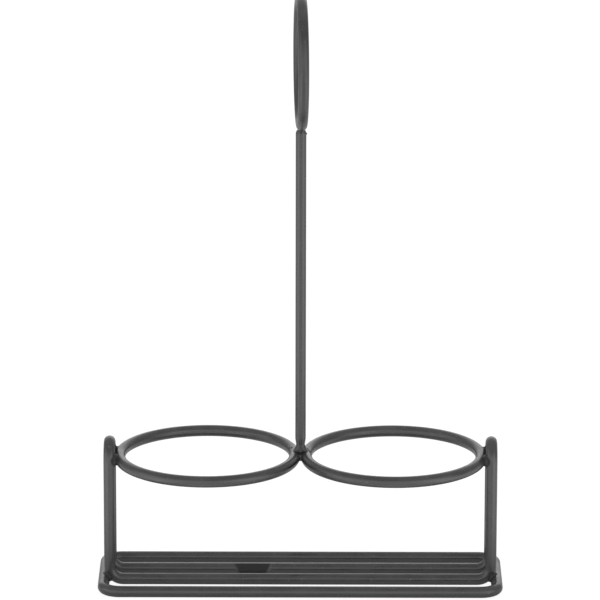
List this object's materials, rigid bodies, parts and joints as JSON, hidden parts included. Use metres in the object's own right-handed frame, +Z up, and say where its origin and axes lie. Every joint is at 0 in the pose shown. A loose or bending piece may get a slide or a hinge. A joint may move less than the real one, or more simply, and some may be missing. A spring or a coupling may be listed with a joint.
{
  "type": "condiment rack",
  "caption": "Welded wire condiment rack: cup rings side by side above a wire base, held by an arched cradle, with a tall rod and a finger ring to carry it.",
  "frame": {"origin": "on the table, under the middle of the rack", "axes": "+X to the right as seen from the front, +Y to the rear, +Z up"},
  "size_m": [0.188, 0.0866, 0.2795],
  "materials": {
    "coated_wire": "satin black powder coat",
    "coated_weld": "satin black powder coat over rough weld metal"
  },
  "bodies": {
    "root": {"base_frame": "coated_wire", "cradle_frame": "coated_wire", "left_cup_ring": "coated_wire", "right_cup_ring": "coated_wire", "handle_rod": "coated_wire", "handle_ring": "coated_wire", "front_left_base_weld": "coated_weld", "front_right_base_weld": "coated_weld", "rear_left_base_weld": "coated_weld", "rear_right_base_weld": "coated_weld", "front_left_ring_weld": "coated_weld", "front_right_ring_weld": "coated_weld", "rear_left_ring_weld": "coated_weld", "rear_right_ring_weld": "coated_weld", "rod_foot_weld": "coated_weld", "handle_ring_weld": "coated_weld"}
  },
  "joints": []
}
